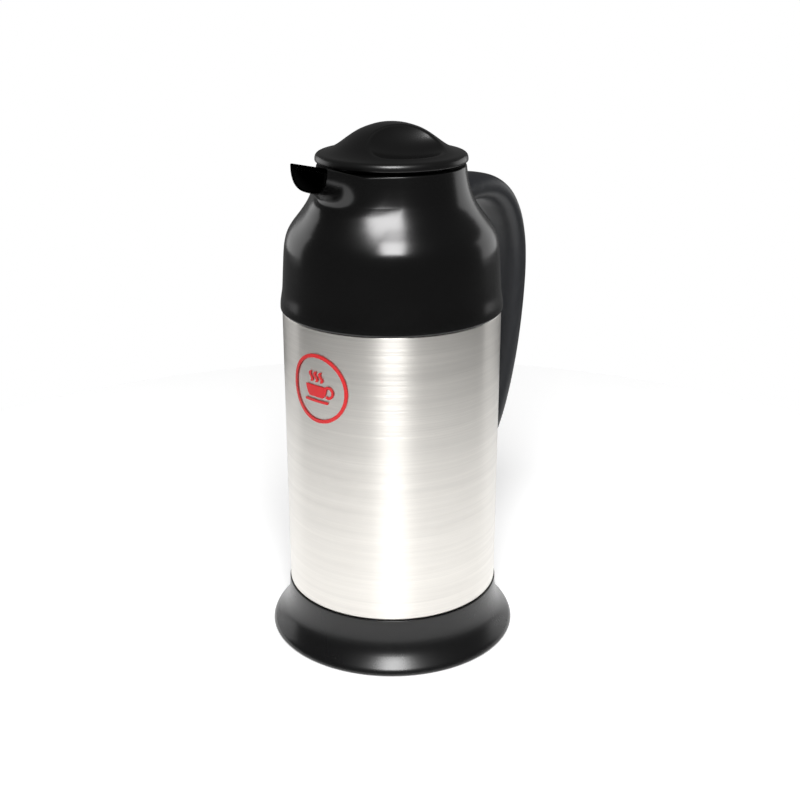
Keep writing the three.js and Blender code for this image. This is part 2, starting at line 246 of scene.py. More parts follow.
SHOULDER_BLACK = moulded_plastic("shoulder_black", (0.0018, 0.0018, 0.0018), 0.2, 2400, 0.1)
LID_BLACK = moulded_plastic("lid_black", (0.0024, 0.0024, 0.0024), 0.27, 2400, 0.15)
BASE_BLACK = moulded_plastic("base_black", (0.0026, 0.0026, 0.0028), 0.26, 2400, 0.12)
GRIP_BLACK = moulded_plastic("grip_black", (0.0125, 0.0135, 0.016), 0.42, 1500, 0.4)
INNER_BLACK = moulded_plastic("inner_black", (0.009, 0.009, 0.0095), 0.38, 1800, 0.3)
SHELL_STEEL = brushed_steel("shell_steel", (0.86, 0.835, 0.79), 0.33, 4200, 0.88, 0.2)
PLAIN_STEEL = brushed_steel("plain_steel", (0.62, 0.615, 0.6), 0.24, 900, 0.3, 0.2)
PLATED = plated_steel("plated", (0.52, 0.52, 0.54))
PAD_RUBBER = soft_rubber("pad_rubber", (0.018, 0.018, 0.019), 0.8, 700)
SILICONE = soft_rubber("silicone", (0.6, 0.6, 0.57), 0.5, 900)
FOAM = open_foam("foam", (0.72, 0.63, 0.45))
RED_INK = printed_ink("red_ink", (0.62, 0.016, 0.02))


# ---------------------------------------------------------------- meshes
def make_object(name, points, faces, body, replaced, material, normals=None):
    """A piece from points in millimetres, which rides on a body and stands for the named CAD nodes."""
    mesh = bpy.data.meshes.new(name)
    places = (np.asarray(points, float) * MM).tolist()
    corners = [[int(i) for i in face] for face in faces]
    mesh.from_pydata(places, [], corners)
    mesh.polygons.foreach_set("use_smooth", [True] * len(mesh.polygons))
    if normals is None:
        mesh.set_sharp_from_angle(angle=math.radians(32))
    else:
        mesh.normals_split_custom_set_from_vertices(np.asarray(normals, float).tolist())
    mesh.materials.append(material)
    piece = bpy.data.objects.new(name, mesh)
    bpy.context.scene.collection.objects.link(piece)
    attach(piece, body)
    if replaced:
        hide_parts(*replaced)
    return piece


def rounded(outline, steps=5):
    """A closed outline of (radius, height, corner radius) points, with its corners turned into curves."""
    points = []
    for i, (r, z, corner) in enumerate(outline):
        here = np.array([r, z], float)
        if not corner:
            points.append(here)
            continue
        before = np.array(outline[i - 1][:2], float) - here
        after = np.array(outline[(i + 1) % len(outline)][:2], float) - here
        reach = min(corner, 0.49 * np.linalg.norm(before), 0.49 * np.linalg.norm(after))
        start = here + before / np.linalg.norm(before) * reach
        end = here + after / np.linalg.norm(after) * reach
        for t in np.linspace(0, 1, steps + 1):
            points.append((1 - t) ** 2 * start + 2 * t * (1 - t) * here + t ** 2 * end)
    return points


def turned_mesh(outline, sides):
    """Points and faces of a closed outline turned about Z. A point at radius 0 stays one point."""
    area = sum(a[0] * b[1] - b[0] * a[1] for a, b in zip(outline, outline[1:] + outline[:1]))
    if area < 0:
        outline = outline[::-1]
    points, rings = [], []
    for r, z in outline:
        if r < 1e-6:
            rings.append([len(points)] * sides)
            points.append((0, 0, z))
            continue
        rings.append(list(range(len(points), len(points) + sides)))
        for k in range(sides):
            angle = 2 * math.pi * k / sides
            points.append((r * math.cos(angle), r * math.sin(angle), z))
    faces = []
    for low, high in zip(rings, rings[1:] + rings[:1]):
        for k in range(sides):
            following = (k + 1) % sides
            corners = list(dict.fromkeys([low[k], low[following], high[following], high[k]]))
            if len(corners) > 2:
                faces.append(corners)
    return points, faces


def turned_piece(name, outline, body, replaced, material, sides=160):
    points, faces = turned_mesh(rounded(outline), sides)
    return make_object(name, points, faces, body, replaced, material)


# ---------------------------------------------------------------- distance fields
def smooth_min(a, b, blend):
    mix = np.clip(0.5 + 0.5 * (b - a) / blend, 0, 1)
    return b * (1 - mix) + a * mix - blend * mix * (1 - mix)


def smooth_max(a, b, blend):
    return -smooth_min(-a, -b, blend)


def ring(radius, z, inner, outer, low, high):
    """Distance to a tube about Z."""
    return np.maximum(np.maximum(inner - radius, radius - outer), np.maximum(low - z, z - high))


def smooth_line(points, softness, spacing=0.05):
    """The line through the points as a function, softened so that it bends gradually."""
    where, value = np.array(points, float).T
    pad = 4 * softness
    fine = np.arange(where[0] - pad, where[-1] + pad, spacing)
    rough = np.interp(fine, where, value)
    low_slope = (value[1] - value[0]) / (where[1] - where[0])
    high_slope = (value[-1] - value[-2]) / (where[-1] - where[-2])
    rough = np.where(fine < where[0], value[0] + (fine - where[0]) * low_slope, rough)
    rough = np.where(fine > where[-1], value[-1] + (fine - where[-1]) * high_slope, rough)
    kernel = np.exp(-0.5 * (np.arange(-pad, pad + spacing, spacing) / softness) ** 2)
    kernel /= kernel.sum()
    half = len(kernel) // 2
    wide = np.pad(rough, half, mode="reflect", reflect_type="odd")
    soft = np.convolve(wide, kernel, mode="same")[half:-half]
    slope = np.gradient(soft, spacing)
    return lambda x: np.interp(x, fine, soft), lambda x: np.interp(x, fine, slope)


def spaced(*stretches):
    """Grid lines from (low, high, step) stretches laid end to end."""
    lines = []
    for low, high, step in stretches:
        count = max(1, round((high - low) / step))
        lines.extend(np.linspace(low, high, count, endpoint=False))
    lines.append(stretches[-1][1])
    return np.array(lines)


def field_gradient(field, points):
    reach = 0.05
    gradient = np.empty_like(points)
    for axis in range(3):
        shift = np.zeros(3)
        shift[axis] = reach
        gradient[:, axis] = (field(*(points + shift).T) - field(*(points - shift).T)) / (2 * reach)
    return gradient


def crossing_points(values, lines):
    """One point in each grid cell that the surface crosses, and the cells' point numbers."""
    shape = tuple(n - 1 for n in values.shape)
    total = np.zeros(shape + (3,))
    count = np.zeros(shape)
    for axis in range(3):
        others = [n for n in range(3) if n != axis]
        low = np.moveaxis(values, axis, 0)[:-1]
        high = np.moveaxis(values, axis, 0)[1:]
        crossed = (low < 0) != (high < 0)
        i, j, k = np.nonzero(crossed)
        share = low[i, j, k] / (low[i, j, k] - high[i, j, k])
        where = np.empty((len(i), 3))
        where[:, axis] = lines[axis][i] + share * (lines[axis][i + 1] - lines[axis][i])
        where[:, others[0]] = lines[others[0]][j]
        where[:, others[1]] = lines[others[1]][k]
        for a in (0, 1):
            for b in (0, 1):
                kept = (j >= a) & (j - a < shape[others[0]]) & (k >= b) & (k - b < shape[others[1]])
                cell = [None] * 3
                cell[axis], cell[others[0]], cell[others[1]] = i[kept], j[kept] - a, k[kept] - b
                np.add.at(total, tuple(cell), where[kept])
                np.add.at(count, tuple(cell), 1)
    used = count > 0
    index = np.full(shape, -1)
    index[used] = np.arange(used.sum())
    return total[used] / count[used][:, None], index


def field_mesh(field, xs, ys, zs):
    """Points, quads and normals of the surface where the field is zero."""
    values = field(*np.meshgrid(xs, ys, zs, indexing="ij"))
    points, index = crossing_points(values, (xs, ys, zs))
    inside = values < 0
    faces = []
    for axis in range(3):
        order = (axis, (axis + 1) % 3, (axis + 2) % 3)
        solid = np.transpose(inside, order)
        cells = np.transpose(index, order)
        i, j, k = np.nonzero(solid[:-1, 1:-1, 1:-1] != solid[1:, 1:-1, 1:-1])
        quad = np.stack([cells[i, j, k], cells[i, j + 1, k], cells[i, j + 1, k + 1], cells[i, j, k + 1]], 1)
        outward = solid[i, j + 1, k + 1]
        faces.append(np.where(outward[:, None], quad, quad[:, ::-1]))
    for _ in range(4):
        gradient = field_gradient(field, points)
        steepness = np.maximum((gradient ** 2).sum(1), 0.05)
        move = (field(*points.T) / steepness)[:, None] * gradient
        length = np.linalg.norm(move, axis=1, keepdims=True)
        points = points - move * np.minimum(1, 0.3 / np.maximum(length, 1e-9))
    gradient = field_gradient(field, points)
    normals = gradient / np.maximum(np.linalg.norm(gradient, axis=1, keepdims=True), 1e-9)
    return points, np.concatenate(faces), normals


def field_piece(name, field, grid, body, replaced, material):
    points, faces, normals = field_mesh(field, *grid)
    return make_object(name, points, faces, body, replaced, material, normals)


# ---------------------------------------------------------------- screws
def screw_field(head_r, head_h, shank_r, length):
    """A cross-head screw: the top of its head is at z = 0 and its point at z = -length."""
    pitch = 1.3

    def field(x, y, z):
        radius = np.hypot(x, y)
        dome = np.sqrt(radius ** 2 + (z + 2.2 * head_r) ** 2) - 2.2 * head_r
        head = smooth_max(smooth_max(radius - head_r, dome, 0.5), -head_h - z, 0.2)
        tilt = 0.25 * np.maximum(0, -z)
        for long, short in ((np.abs(x), np.abs(y)), (np.abs(y), np.abs(x))):
            arm = np.maximum(long - 0.58 * head_r + tilt, short - 0.17 * head_r)
            head = smooth_max(head, -np.maximum(arm, -z - 0.62 * head_h), 0.15)
        turn = np.arctan2(y, x) / (2 * math.pi)
        wave = np.abs(((z / pitch - turn) % 1) - 0.5) * 2
        crest = shank_r - 0.45 * wave ** 1.5
        taper = np.minimum(0, length - 1.5 * shank_r + z) * 0.6
        shank = np.maximum((radius - crest - taper) * 0.7, np.maximum(-length - z, z + 0.5 * head_h))
        return np.minimum(head, shank)

    return field


def make_screws(nodes, heads, outward, head_r, head_h, shank_r, length, body):
    """The same screw at each head centre, with its head facing outward along Y or Z."""
    grid = (spaced((-head_r - 0.3, head_r + 0.3, 0.2)),) * 2 + (spaced((-length - 0.3, 0.3, 0.2)),)
    points, faces, normals = field_mesh(screw_field(head_r, head_h, shank_r, length), *grid)
    turn = {"down": [(1, 0, 0), (0, -1, 0), (0, 0, -1)], "back": [(1, 0, 0), (0, 0, 1), (0, -1, 0)]}[outward]
    turn = np.array(turn, float)
    for node, head in zip(nodes, heads):
        placed = points @ turn.T + head
        make_object(node + "_cross", placed, faces, body, [node], PLATED, normals @ turn.T)


def three_round(radius, turn=0.0):
    """Three places at equal angles round the axis."""
    angles = [math.radians(degrees) + turn for degrees in (90, 210, 330)]
    return [(radius * math.cos(angle), radius * math.sin(angle)) for angle in angles]


# ---------------------------------------------------------------- base
def make_base():
    turned_piece("base_moulding", [
        (60.6, 0, 0.6),
        (65.2, 0, 0.8),
        (BASE_R, 1.3, 0.8),
        (65.5, 3.6, 1.2),
        (62.2, 6.9, 2.6),
        (59.4, 10.8, 3),
        (57.6, 15.6, 3),
        (56.8, 21, 3),
        (56.6, BASE_H, 0.4),
        (SEAT_R + GAP, BASE_H, 0.2),
        (SEAT_R + GAP, FLOOR_TOP, 0),
        (38, FLOOR_TOP, 0.5),
        (38, FLOOR_LOW, 0.5),
        (56.5, FLOOR_LOW, 1),
        (60.6, 4.6, 0.4),
    ], "server", ["base_cup"], BASE_BLACK, 220)


def cover_field(x, y, z):
    """Underside cover: a flanged plate with stiffening rings and a dished hole for each screw."""
    radius = np.hypot(x, y)
    plate = smooth_max(ring(radius, z, -1, 60.3, 1.9, 4.1), (radius - 60.3) + (3 - z) * 0.7, 0.6)
    grooves = np.abs((radius - 46) % 4 - 2) - 0.5
    grooved = np.maximum(np.maximum(grooves, 1.9 - z), np.maximum(radius - 50, 44.8 - radius))
    plate = smooth_max(plate, -np.maximum(grooved, z - 2.5), 0.3)
    for sx, sy in three_round(BASE_SCREW_RING):
        from_screw = np.hypot(x - sx, y - sy)
        plate = smooth_max(plate, 2.1 - from_screw, 0.3)
    return plate


def make_underside():
    span = spaced((-61, 61, 0.8))
    field_piece("bottom_cover_plate", cover_field, (span, span, spaced((1.3, 4.7, 0.3))),
                "server", ["bottom_cover"], INNER_BLACK)
    tread = [(44, 0.3, 0.2), (44, 1.6, 0.2), (0, 1.6, 0), (0, 0.5, 0), (14, 0.5, 0.2)]
    for inner in range(15, 44, 4):
        tread += [(inner, 0, 0.2), (inner + 2.6, 0, 0.2)]
        if inner + 4 < 44:
            tread += [(inner + 2.9, 0.5, 0.1), (inner + 3.7, 0.5, 0.1)]
    turned_piece("foot_pad_tread", tread, "server", ["foot_pad"], PAD_RUBBER)
    heads = [(x, y, 0.4) for x, y in three_round(BASE_SCREW_RING)]
    nodes = [f"base_screw_{i + 1}" for i in range(3)]
    make_screws(nodes, heads, "down", 3.6, 1.2, 1.6, 7.8, "server")


# ---------------------------------------------------------------- steel bottle
def make_bottle():
    turned_piece("shell_wall", [
        (SEAT_R, 9, 0.2),
        (SEAT_R, BASE_H + 0.1, 0.3),
        (SHELL_R, BASE_H + 0.9, 0.5),
        (SHELL_R, 179.5, 0.4),
        (54.4, 179.5, 0.8),
        (52.7, 180.4, 0.8),
        (52.4, 203, 6),
        (49.6, 210, 4),
        (44, 215.3, 4),
        (36, 219.2, 3),
        (NECK_R, 222.5, 2),
        (NECK_R, NECK_TOP, 0.2),
        (28.1, NECK_TOP, 0),
        (28.1, 222, 2),
        (35.6, 218.5, 3),
        (43.5, 214.6, 4),
        (48.9, 209.6, 4),
        (51.6, 202.9, 6),
        (51.6, 180, 1),
        (55.3, 177.4, 1),
        (55.3, BASE_H + 1.2, 0.5),
        (SEAT_R - 0.8, BASE_H + 0.4, 0.3),
        (SEAT_R - 0.8, 9, 0),
    ], "server", ["outer_shell"], SHELL_STEEL, 240)
    turned_piece("liner_wall", [
        (0, 19, 0),
        (41, 19, 3),
        (47, 22, 4),
        (47, 197, 6),
        (45, 205, 6),
        (38, 212.6, 5),
        (29, 217.6, 4),
        (25.8, 221.5, 2),
        (25.8, NECK_TOP + GAP, 0.3),
        (NECK_R + 0.5, NECK_TOP + GAP, 0.3),
        (NECK_R + 0.5, NECK_TOP + GAP + 0.8, 0.4),
        (MOUTH_R, NECK_TOP + GAP + 0.8, 0.6),
        (MOUTH_R, 221, 2),
        (28.4, 216.9, 4),
        (37.4, 211.9, 5),
        (44.2, 204.6, 6),
        (46.2, 196.8, 6),
        (46.2, 22.5, 3.5),
        (40.5, 19.8, 3),
        (0, 19.8, 0),
    ], "server", ["inner_liner"], PLAIN_STEEL)
    turned_piece("bottom_pan", [
        (0, 11, 0), (30, 11, 2), (34, 10.2, 2), (45, 10.2, 2), (49, 11, 1), (52, 9, 0.8), (53.7, 9, 0.3),
        (53.7, 10, 0.2), (52.2, 10, 0.6), (50, 12, 0.8), (45.4, 11.2, 2), (33.8, 11.2, 2), (29.8, 12, 2),
        (0, 12, 0),
    ], "server", ["shell_bottom"], PLAIN_STEEL)
    turned_piece("seal_cap_pressing", [
        (0, 9.6, 0), (5.6, 9.6, 0.5), (7, 10.3, 0.3), (7, 10.7, 0.1), (0, 10.7, 0),
    ], "server", ["vacuum_seal_cap"], PLAIN_STEEL, 64)
    turned_piece("getter_ring", [
        (0, 12.3, 0), (9, 12.3, 0.3), (9, 14.3, 0.3), (7.6, 14.3, 0.3), (7, 13.2, 0.3), (3, 13.2, 0.3),
        (2, 13.8, 0.3), (0, 13.8, 0),
    ], "server", ["getter"], PLATED, 64)
    low, high = NECK_TOP + 2 * GAP + 0.8, LEDGE_LOW - GAP
    turned_piece("neck_gasket_ring", [
        (LEDGE_R, low, 0.3), (29.6, low, 0.3), (29.6, high, 0.3), (LEDGE_R, high, 0.3),
    ], "server", ["neck_gasket"], SILICONE, 128)


# ---------------------------------------------------------------- shoulder and collar
wall_radius, wall_slope = smooth_line([
    (180.0, 57), (183, 57), (186.5, 56.4), (190, 55.8), (200, 55.2), (208, 54.7), (213, 54.2),
    (217, 53.3), (220, 52.1), (223, 50.2), (226, 47.8), (230, 44.7), (234, 42.1), (238, 40.2),
    (242, 39), (246.5, 38), (252.4, 37.2),
], 1.2)


def roof_height(y):
    """Top of the moulding: level at the rim, climbing along the beak."""
    climb = np.maximum(0, -y - ROOF_START) / (BEAK_REACH - ROOF_START)
    return RIM_Z + BEAK_RISE * climb


def round_bottomed(x, y, z, half, depth, drop):
    """Distance, near enough, to a bar along Y with an elliptic underside."""
    down = (roof_height(y) - drop - z) / depth
    size = ((np.abs(x) / half) ** 2.7 + np.abs(down) ** 2.7) ** (1 / 2.7)
    return (size - 1) * np.minimum(half, depth)


def bib_height(x, y, z):
    """The low fairing that spreads down the shoulder from the beak: wide at the neck, and gone at z = 212."""
    up = np.clip((z - 212) / 26, 0, 1)
    half_angle = np.radians(22 + 26 * up)
    across = np.clip(np.abs(np.arctan2(x, -y)) / half_angle, 0, 1)
    fade = 1 - across * across * (3 - 2 * across)
    return BIB_HEIGHT * up * up * (3 - 2 * up) * fade


def shoulder_outside(x, y, z):
    """The turned wall with the beak flowing out of it."""
    slope = wall_slope(z)
    body = (np.hypot(x, y) - wall_radius(z) - bib_height(x, y, z)) / np.sqrt(1 + slope ** 2)
    rootward = np.clip((BEAK_REACH + y) / (BEAK_REACH - BEAK_ROOT), 0, 1.2)
    beak = round_bottomed(x, y, z, BEAK_HALF + 3 * rootward ** 1.5, BEAK_DEPTH + 4 * rootward ** 2, 0)
    beak = smooth_max(beak, -y - BEAK_REACH - LIP_LEAN * (roof_height(y) - z), 0.9)
    beak = smooth_max(beak, y + BEAK_ROOT, 0.5)
    return smooth_min(body, beak, 9)


def channel_field(x, y, z):
    bar = round_bottomed(x, y, z, CHANNEL_HALF, CHANNEL_DEPTH, RIM_THICK)
    bar = smooth_max(bar, z - roof_height(y) + RIM_THICK, 0.5)
    return np.maximum(bar, y + THROAT_R - 4)


def shoulder_field(x, y, z):
    outside = shoulder_outside(x, y, z)
    radius = np.hypot(x, y)
    channel = channel_field(x, y, z)
    hollow = np.maximum(outside + SKIN, z - RIM_Z + RIM_THICK)
    hollow = np.maximum(hollow, 2 - np.maximum(channel, y + BEAK_ROOT))
    body = smooth_max(outside, z - roof_height(y), 0.9)
    body = smooth_max(body, SHOULDER_LOW - z, 0.8)
    body = smooth_max(body, -hollow, 0.8)
    body = smooth_max(body, THROAT_R - radius, 0.5)
    body = smooth_max(body, -channel, 0.7)
    slot = np.maximum(np.maximum(np.abs(x) - 7.4, np.abs(y - 40.5) - 5.5), np.abs(z - TONGUE_Z) - 2.9)
    return np.maximum(body, -slot)


def make_shoulder():
    grid = (
        spaced((-58.2, -17, 0.85), (-17, 17, 0.45), (17, 58.2, 0.85)),
        spaced((-59, -27, 0.45), (-27, 58.2, 0.85)),
        spaced((178.8, 182.4, 0.45), (182.4, 214, 0.9), (214, 260, 0.5)),
    )
    field_piece("shoulder_moulding", shoulder_field, grid,
                "server", ["shoulder"], SHOULDER_BLACK)


def helix_flights(x, y, z, inside, outside, mid_z, mid_angle):
    """The flights of one right-hand thread."""
    radius = np.hypot(x, y)
    share = 2 * math.pi / THREAD_STARTS
    angle = (np.arctan2(y, x) - mid_angle + share / 2) % share - share / 2
    height = z - mid_z - THREAD_LEAD * angle / (2 * math.pi)
    flight = smooth_max(np.abs(height) - FLIGHT_HEIGHT / 2, (np.abs(angle) - FLIGHT_HALF_SWEEP) * outside, 1)
    return smooth_max(flight, np.maximum(inside - radius, radius - outside), 0.8)


def collar_field(x, y, z):
    radius = np.hypot(x, y)
    tube = ring(radius, z, THROAT_R, COLLAR_R, COLLAR_LOW, RIM_Z - RIM_THICK - GAP)
    tube = np.maximum(tube, -channel_field(x, y, z))
    ledge = ring(radius, z, LEDGE_R, COLLAR_R - 1, LEDGE_LOW, LEDGE_TOP)
    body = smooth_min(tube, ledge, 0.5)
    flights = helix_flights(x, y, z, 29, THROAT_R + 0.6, THREAD_MID_Z, math.pi / 2)
    return smooth_min(body, flights, 0.5)


def make_collar():
    span = spaced((-34, 34, 0.55))
    field_piece("collar_moulding", collar_field, (span, span, spaced((223.8, 250.8, 0.45))),
                "server", ["neck_collar"], INNER_BLACK)


# ---------------------------------------------------------------- lid and stopper
lid_height, lid_slope = smooth_line([
    (0, LID_TOP + 0.3), (6, LID_TOP - 0.1), (10, 271.4), (14.5, 269.9), (18.5, 267.8), (23.4, 264.3),
    (27.7, 261.1), (32, 259.1), (35, 258.3), (38, 257.9),
], 1.6)
SCOOP_OUT = 23.5
SCOOP_SIZE = (17.5, 34, 18)
SCOOP_Z = 276


def lid_field(x, y, z):
    across = x * math.cos(LID_TURN) + y * math.sin(LID_TURN)
    along = y * math.cos(LID_TURN) - x * math.sin(LID_TURN)
    radius = np.hypot(x, y)
    lid = (z - lid_height(radius)) / np.sqrt(1 + lid_slope(radius) ** 2)
    lid = smooth_max(lid, radius - LID_R, 2.6)
    under = np.where(radius > STOPPER_R, LID_LOW, LID_BOSS_Z)
    lid = smooth_max(lid, under - z, 0.7)
    for side in (-1, 1):
        size = np.sqrt(
            ((across - side * SCOOP_OUT) / SCOOP_SIZE[0]) ** 2
            + (along / SCOOP_SIZE[1]) ** 2
            + ((z - SCOOP_Z) / SCOOP_SIZE[2]) ** 2
        )
        lid = smooth_max(lid, (1 - size) * SCOOP_SIZE[0], 1.0)
    hollow = ring(radius, z, -1, 11, 0, 262)
    lid = smooth_max(lid, -hollow, 0.5)
    for sx, sy in three_round(LID_SCREW_RING, LID_TURN):
        lid = np.maximum(lid, -ring(np.hypot(x - sx, y - sy), z, -1, 1.9, 250, 258.4))
    return lid


def stopper_field(x, y, z):
    radius = np.hypot(x, y)
    body = ring(radius, z, -1, STOPPER_R, 250.4, STOPPER_TOP)
    for part in ((SKIRT_IN, STOPPER_R, SKIRT_LOW, STOPPER_TOP), (PLUG_IN, STOPPER_R, SKIRT_LOW, 238.6)):
        body = smooth_min(body, ring(radius, z, *part), 0.5)
    body = smooth_max(body, (radius + z) - (STOPPER_R + STOPPER_TOP) + 0.5, 0.4)
    body = smooth_max(body, (radius - z) - (STOPPER_R - SKIRT_LOW) + 0.9, 0.4)
    body = smooth_min(body, ring(radius, z, PLUG_IN, PLUG_R, 219, 238), 0.5)
    lag_rise = THREAD_LEAD * FLIGHT_LAG / (2 * math.pi)
    mid_z = THREAD_MID_Z - FLIGHT_HEIGHT - GAP + lag_rise
    flights = helix_flights(x, y, z, STOPPER_R - 0.6, 30.2, mid_z, math.pi / 2 + FLIGHT_LAG)
    body = smooth_min(body, flights, 0.5)
    for sx, sy in three_round(LID_SCREW_RING, LID_TURN):
        body = smooth_max(body, 1.9 - np.hypot(x - sx, y - sy), 0.3)
    return body


def make_lid():
    span = spaced((-38.8, 38.8, 0.55))
    grid = (span, span, spaced((252, 258.5, 0.4), (258.5, 273.6, 0.55)))
    field_piece("lid_moulding", lid_field, grid, "stopper", ["lid_cover"], LID_BLACK)


def make_stopper():
    span = spaced((-31, 31, 0.5))
    field_piece("stopper_moulding", stopper_field, (span, span, spaced((218.3, 253.3, 0.5))),
                "stopper", ["stopper_body"], INNER_BLACK)
    turned_piece("stopper_end", [
        (0, PLUG_LOW + 0.6, 0), (9, PLUG_LOW + 0.6, 0.3), (10, PLUG_LOW, 0.3), (21.4, PLUG_LOW, 0.8),
        (PLUG_R, 217.4, 0.6), (PLUG_R, 218.7, 0.2), (0, 218.7, 0),
    ], "stopper", ["stopper_bottom_cap"], INNER_BLACK, 128)
    turned_piece("stopper_seal_ring", [
        (23.9, 234, 0.3), (25.2, 233.9, 0.4), (27.4, 233.9, 0.8), (27.8, 235, 0.6), (27.2, 236.2, 0.3),
        (23.9, 236.2, 0.2),
    ], "stopper_core", ["stopper_seal"], SILICONE, 128)
    turned_piece("foam_block", [(0, 219.2, 0), (21.2, 219.2, 0.8), (21.2, 247.4, 0.8), (0, 247.4, 0)],
                 "stopper_core", ["stopper_foam"], FOAM, 96)
    heads = [(x, y, 248) for x, y in three_round(LID_SCREW_RING, LID_TURN)]
    nodes = [f"lid_screw_{i + 1}" for i in range(3)]
    make_screws(nodes, heads, "down", 3.2, 2.1, 1.5, 9.8, "stopper")


# ---------------------------------------------------------------- handle
# The handle's middle line, as (distance behind the axis, height)
HANDLE_LINE = [
    (36, 229.6), (44, 231.2), (53, 232.4), (63.7, 233), (76, 230.8), (87.5, 223.6), (95.6, 211.4),
    (100, 196), (101, 181), (100.2, 165), (98.4, 149), (95.6, 133), (91.4, 117), (85.8, 101), (78, 87),
    (68, 77.5), (55, 73.5),
]


def handle_centre():
    """Points every half millimetre or so along the handle's middle, with the share of its length."""
    line = np.array(HANDLE_LINE, float)
    steps = np.concatenate([[0], np.cumsum(np.hypot(*np.diff(line, axis=0).T))])
    reach, _ = smooth_line(list(zip(steps, line[:, 0])), 5)
    height, _ = smooth_line(list(zip(steps, line[:, 1])), 5)
    along = np.linspace(0, steps[-1], 480)
    centre = np.stack([reach(along), height(along)], 1)
    tangent = np.gradient(centre, axis=0)
    return centre, tangent / np.linalg.norm(tangent, axis=1, keepdims=True), along / steps[-1]


CENTRE, TANGENT, SHARE = handle_centre()


def handle_field(x, y, z):
    shape = np.shape(x)
    spots, where = np.unique(np.stack([np.ravel(y), np.ravel(z)], 1), axis=0, return_inverse=True)
    nearest = np.empty(len(spots), int)
    for start in range(0, len(spots), 20000):
        block = spots[start:start + 20000]
        nearest[start:start + 20000] = ((block[:, None] - CENTRE[None]) ** 2).sum(2).argmin(1)
    away = spots - CENTRE[nearest]
    lift = (away[:, 0] * -TANGENT[nearest, 1] + away[:, 1] * TANGENT[nearest, 0])[np.ravel(where)]
    share = SHARE[nearest][np.ravel(where)]
    half_width = HANDLE_HALF_WIDTH - WIDTH_TAPER * share
    half_depth = HANDLE_HALF_DEPTH - DEPTH_TAPER * share
    flat = np.abs(np.ravel(x)) / half_width
    size = (flat ** 2.7 + (np.abs(lift) / half_depth) ** 2.4) ** (1 / 2.5)
    bar = ((size - 1) * half_depth).reshape(shape)
    radius = np.hypot(x, y)
    tongue = np.maximum(np.maximum(np.abs(x) - 7, np.abs(y - 42) - 5.1), np.abs(z - TONGUE_Z) - 2.5)
    foot_clearance = np.minimum(SHELL_R + 2.2 - radius, FOOT_TOP - z)
    bar = smooth_max(bar, GAP - shoulder_outside(x, y, z), 1)
    bar = smooth_max(bar, foot_clearance, 1)
    bar = np.minimum(bar, tongue)
    from_screw = np.hypot(x, z - HANDLE_FOOT_Z)
    bores = ((BOSS_R + GAP, 50, BOSS_REACH + GAP), (2.3, 60, 90), (4.4, HANDLE_SCREW_SEAT, 95))
    for bore_r, near, far in bores:
        bar = smooth_max(bar, -ring(from_screw, y, -1, bore_r, near, far), 0.5)
    return bar


def bracket_field(x, y, z):
    radius = np.hypot(x, y)
    flat = np.hypot(np.maximum(np.abs(x) - 6, 0), np.maximum(np.abs(z - HANDLE_FOOT_Z) - 10, 0)) - 3
    plate = smooth_max(np.abs(radius - SHELL_R - GAP - 0.75) - 0.75, flat, 0.3)
    from_screw = np.hypot(x, z - HANDLE_FOOT_Z)
    boss = ring(from_screw, y, -1, BOSS_R, 57.2, BOSS_REACH)
    body = smooth_min(plate, boss, 0.8)
    return smooth_max(np.maximum(body, -y), 2.2 - from_screw, 0.3)


def make_handle():
    grid = (spaced((-14, 14, 0.8)), spaced((36, 109, 0.9)), spaced((60, 250, 0.9)))
    field_piece("handle_grip", handle_field, grid, "server", ["handle"], GRIP_BLACK)
    grid = (spaced((-9.6, 9.6, 0.4)), spaced((54.5, 63.6, 0.35)), spaced((60.4, 87.6, 0.4)))
    field_piece("bracket_pressing", bracket_field, grid,
                "server", ["handle_bracket"], PLAIN_STEEL)
    head = (0, HANDLE_SCREW_SEAT + GAP + 2.7, HANDLE_FOOT_Z)
    make_screws(["handle_screw"], [head], "back", 4, 2.7, 1.8, 11, "server")


# ---------------------------------------------------------------- round printed mark: a coffee cup
def stroke(u, v, start, end, half):
    """Distance to a straight stroke with round ends."""
    start, end = np.array(start, float), np.array(end, float)
    line = end - start
    share = np.clip(((u - start[0]) * line[0] + (v - start[1]) * line[1]) / (line @ line), 0, 1)
    return np.hypot(u - start[0] - share * line[0], v - start[1] - share * line[1]) - half


def mark_field(u, v, w):
    far = np.hypot(u, v)
    frame_ring = np.abs(far - BADGE_R + 1.2) - 0.95
    bowl = np.maximum(np.hypot(u + 1, (v - 1.5) * 0.92) - 7, v - 1.5)
    bowl = np.maximum(bowl, -4.4 - v)
    ear = np.maximum(np.abs(np.hypot(u - 6.6, v + 0.9) - 2.7) - 0.7, 5.2 - u)
    saucer = stroke(u, v, (-8, -6.4), (6, -6.4), 0.75)
    mark = np.minimum(np.minimum(frame_ring, bowl), np.minimum(ear, saucer))
    for middle in (-4.2, -1, 2.2):
        wave = u - middle - 0.8 * np.sin((v - 3.2) * 1.15)
        steam = np.maximum(np.abs(wave) * 0.75 - 0.6, np.abs(v - 6) - 2.7)
        mark = np.minimum(mark, steam)
    return smooth_max(mark, np.abs(w - 0.1) - 0.1, 0.05)


def make_mark():
    span = spaced((-18.2, 18.2, 0.28))
    points, faces, normals = field_mesh(mark_field, span, span, spaced((-0.1, 0.3, 0.1)))
    angle = points[:, 0] / SHELL_R
    radius = SHELL_R + GAP + points[:, 2]
    wrapped = np.stack([radius * np.sin(angle), -radius * np.cos(angle), BADGE_Z + points[:, 1]], 1)
    turned = np.stack([
        normals[:, 0] * np.cos(angle) + normals[:, 2] * np.sin(angle),
        normals[:, 0] * np.sin(angle) - normals[:, 2] * np.cos(angle),
        normals[:, 1],
    ], 1)
    make_object("round_mark", wrapped, faces, "server", ["badge"], RED_INK, turned)


